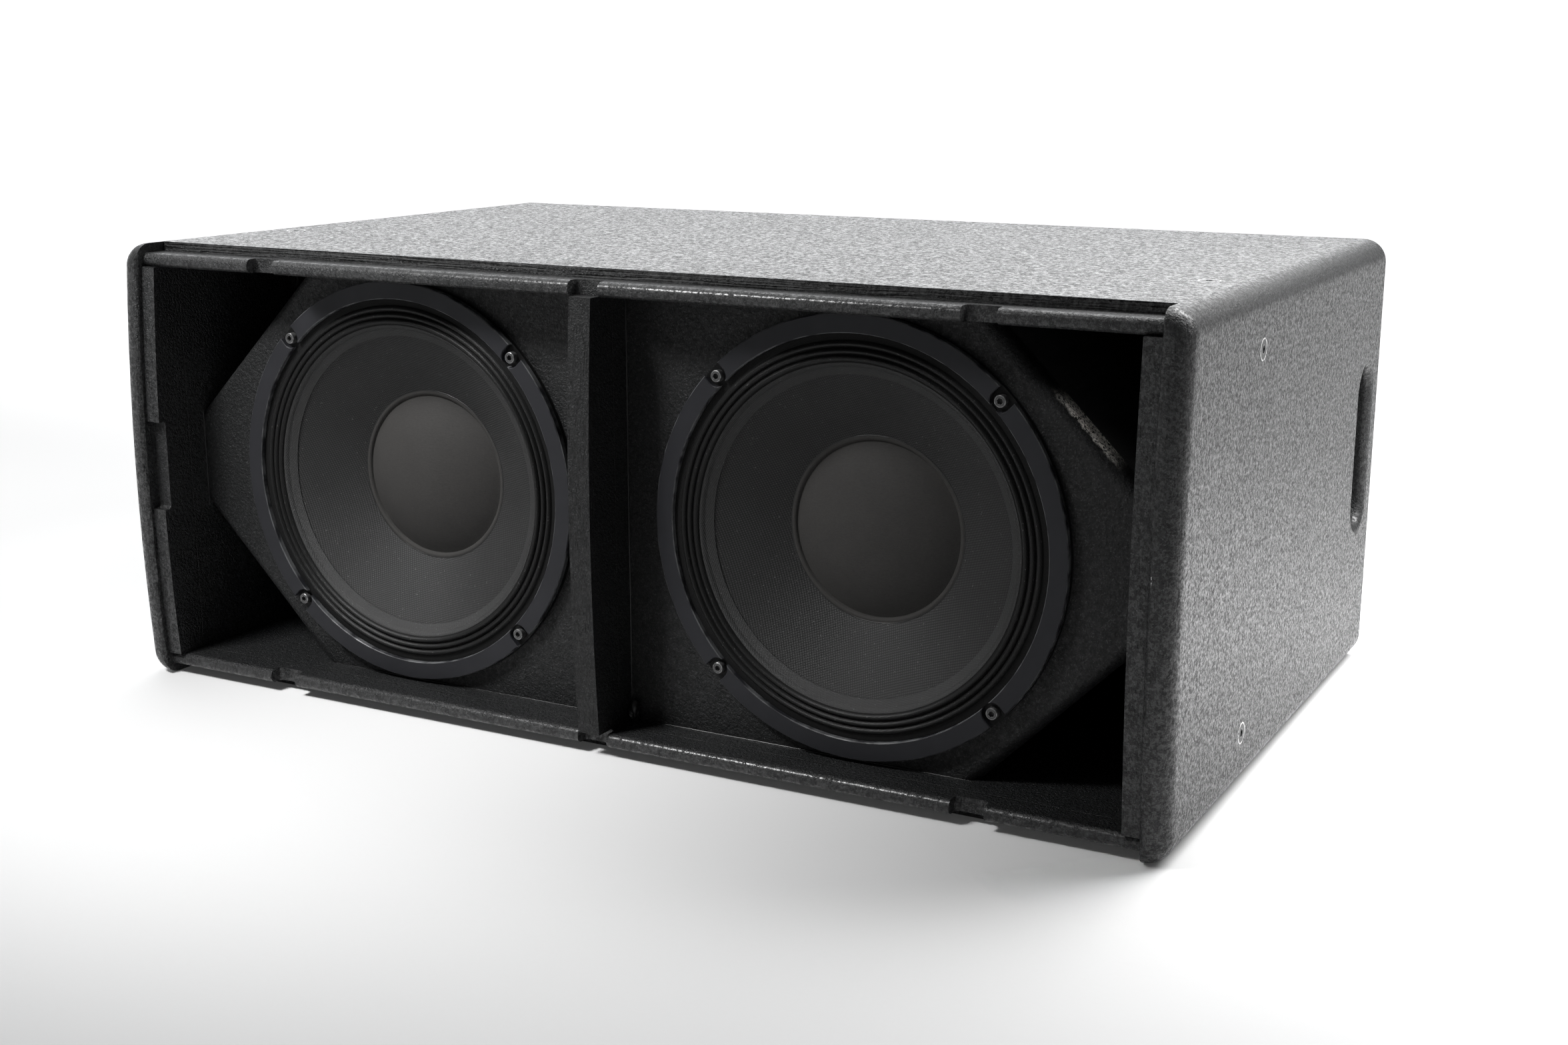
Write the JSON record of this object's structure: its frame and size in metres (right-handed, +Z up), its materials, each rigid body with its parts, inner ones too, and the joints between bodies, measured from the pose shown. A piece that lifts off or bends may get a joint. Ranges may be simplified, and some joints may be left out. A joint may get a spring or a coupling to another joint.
{
  "type": "pa bass speaker cabinet",
  "caption": "Wide PA bass cabinet with its grille off: side-by-side drivers, bowed side rims, corner ports, hand holds and rear connector plate.",
  "frame": {"origin": "on the floor, midway between the sides and midway front to back", "axes": "+X to the right seen from the front, +Y to the back, +Z up; the drivers face -Y"},
  "size_m": [0.874, 0.54, 0.355],
  "materials": {
    "black_screw": "blackened steel with worn rims",
    "cap_felt": "felted pulp",
    "cast_frame": "die-cast, black coated",
    "coated_cloth": "doped cloth",
    "cone_paper": "pressed pulp, coated",
    "copper_wire": "enamelled winding",
    "damping_felt": "recycled fibre pad",
    "ferrite": "sintered ferrite",
    "foam": "closed-cell sealing strip",
    "former_film": "thin sheet",
    "gasket_plastic": "satin dark grey",
    "moulded_plastic": "moulded, satin",
    "painted_plywood": "birch plywood under textured black coating",
    "plate_metal": "powder coated sheet",
    "raw_plywood": "plain birch plywood",
    "spider_cloth": "resin-treated cotton",
    "terminal_plastic": "moulded",
    "zinc_steel": "bright zinc plate"
  },
  "bodies": {
    "cabinet": {"back_plate_left": "zinc_steel", "back_plate_right": "zinc_steel", "baffle_left": "painted_plywood", "baffle_right": "painted_plywood", "blanking_screws": "black_screw", "bottom_panel": "painted_plywood", "brace_left": "raw_plywood", "brace_right": "raw_plywood", "centre_divider": "painted_plywood", "connector_cores": "moulded_plastic", "connector_plate": "plate_metal", "connector_screws": "black_screw", "connector_shells": "moulded_plastic", "damping_pad_left": "damping_felt", "damping_pad_right": "damping_felt", "driver_nuts_left": "zinc_steel", "driver_nuts_right": "zinc_steel", "driver_screws_left": "black_screw", "driver_screws_right": "black_screw", "driver_seal_left": "foam", "driver_seal_right": "foam", "flying_sleeves": "zinc_steel", "frame_left": "cast_frame", "frame_right": "cast_frame", "gasket_arcs_left": "gasket_plastic", "gasket_arcs_right": "gasket_plastic", "handle_cup_left": "moulded_plastic", "handle_cup_right": "moulded_plastic", "liner_left": "painted_plywood", "liner_right": "painted_plywood", "magnet_left": "ferrite", "magnet_right": "ferrite", "plate_screws": "black_screw", "plate_seal": "foam", "port_board_lower_left": "painted_plywood", "port_board_lower_right": "painted_plywood", "port_board_upper_left": "painted_plywood", "port_board_upper_right": "painted_plywood", "rear_panel": "painted_plywood", "side_panel_left": "painted_plywood", "side_panel_right": "painted_plywood", "spider_left": "spider_cloth", "spider_right": "spider_cloth", "surround_left": "coated_cloth", "surround_right": "coated_cloth", "terminals_left": "terminal_plastic", "terminals_right": "terminal_plastic", "top_panel": "painted_plywood", "top_plate_left": "zinc_steel", "top_plate_right": "zinc_steel"},
    "left_cone": {"cone_left": "cone_paper", "dust_cap_left": "cap_felt", "coil_former_left": "former_film", "voice_coil_left": "copper_wire"},
    "right_cone": {"cone_right": "cone_paper", "dust_cap_right": "cap_felt", "coil_former_right": "former_film", "voice_coil_right": "copper_wire"}
  },
  "joints": [
    {"name": "left_cone_travel", "type": "slide", "parent": "cabinet", "child": "left_cone", "axis": [0, 1, 0], "range_m": [-0.008, 0.008], "stiffness_N_per_m": 6000, "deforming": ["surround_left", "spider_left"]},
    {"name": "right_cone_travel", "type": "slide", "parent": "cabinet", "child": "right_cone", "axis": [0, 1, 0], "range_m": [-0.008, 0.008], "stiffness_N_per_m": 6000, "deforming": ["surround_right", "spider_right"]}
  ]
}
